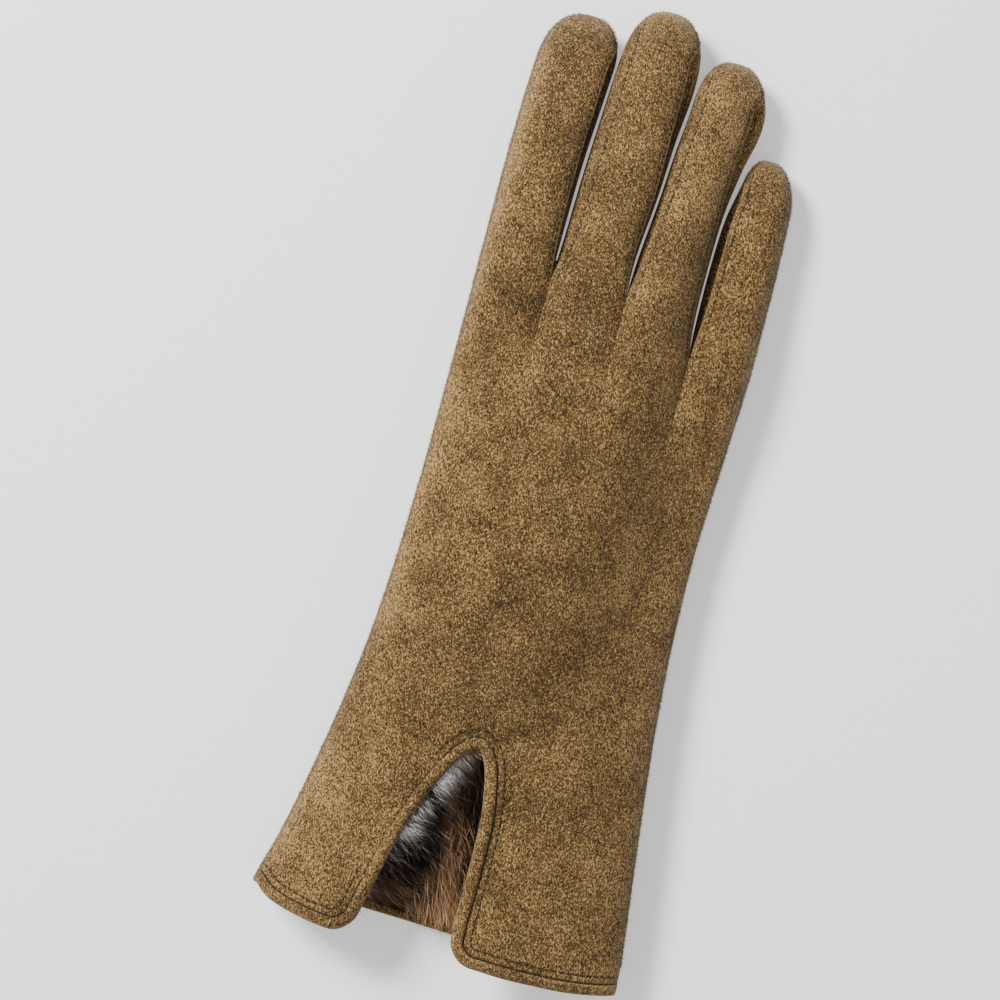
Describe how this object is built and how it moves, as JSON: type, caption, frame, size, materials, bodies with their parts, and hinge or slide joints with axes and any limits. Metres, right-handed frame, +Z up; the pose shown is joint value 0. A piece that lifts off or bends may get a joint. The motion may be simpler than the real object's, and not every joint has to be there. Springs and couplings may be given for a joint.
{
  "type": "suede glove",
  "caption": "Lady's slim suede dress glove for the right hand, lying with its back up, with a bound cuff slit that opens on a fur lining.",
  "frame": {"origin": "centre of the glove's outline, on the surface that it lies on", "axes": "+X across the hand towards the little finger, +Y from the cuff to the fingertips, +Z up from the palm to the back of the hand"},
  "size_m": [0.1062, 0.2718, 0.0289],
  "materials": {
    "suede": "napped olive brown suede",
    "facing": "napped dark suede",
    "fur": "soft mixed brown, grey and white fur"
  },
  "bodies": {
    "root": {"trank": "suede", "fourchette_index_middle": "suede", "fourchette_middle_ring": "suede", "fourchette_ring_little": "suede", "thumb": "suede", "cuff_binding": "suede", "cuff_facing": "facing", "fur_lining": "fur"}
  },
  "joints": []
}
